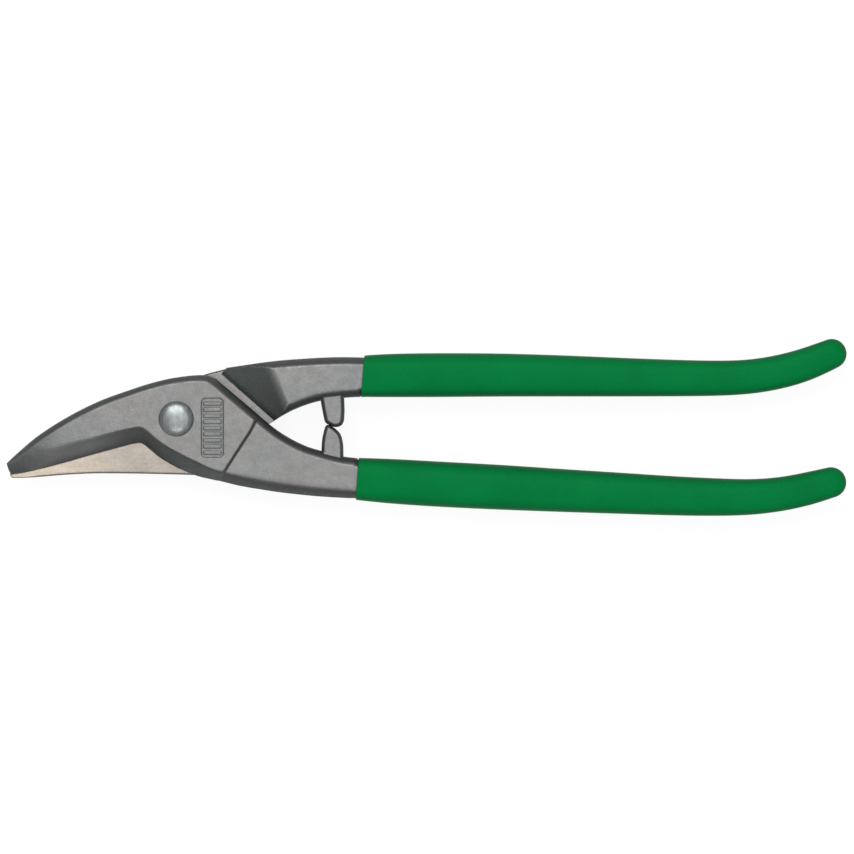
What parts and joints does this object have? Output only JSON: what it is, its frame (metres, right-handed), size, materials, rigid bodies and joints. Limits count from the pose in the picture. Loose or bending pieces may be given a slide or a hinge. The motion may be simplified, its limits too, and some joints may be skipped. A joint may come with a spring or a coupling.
{
  "type": "sheet metal snips",
  "caption": "Forged sheet-metal snips with a curved jaw for cutting holes and shapes, a bolted pivot, stops between the shanks and dipped green grips, closed.",
  "frame": {"origin": "centre of the flat end face of the pivot bolt, on the pivot axis, the lowest point of the tool as it lies", "axes": "+X along the handles away from the jaws, +Y from the lower handle to the upper one, +Z along the pivot axis towards the domed bolt head"},
  "size_m": [0.2751, 0.0577, 0.019],
  "materials": {
    "forged_steel": "blasted",
    "ground_steel": "ground",
    "bolt_steel": "satin",
    "green_grip": "satin"
  },
  "bodies": {
    "front": {"front_blade_half": "forged_steel", "lower_grip": "green_grip", "pivot_bolt": "bolt_steel", "pivot_washer": "bolt_steel", "pivot_nut": "bolt_steel"},
    "rear": {"rear_blade_half": "ground_steel", "upper_grip": "green_grip"}
  },
  "joints": [
    {"name": "pivot", "type": "hinge", "parent": "front", "child": "rear", "pos_m": [0, 0, 0.0115], "axis": [0, 0, 1], "range_deg": [0, 45]}
  ]
}
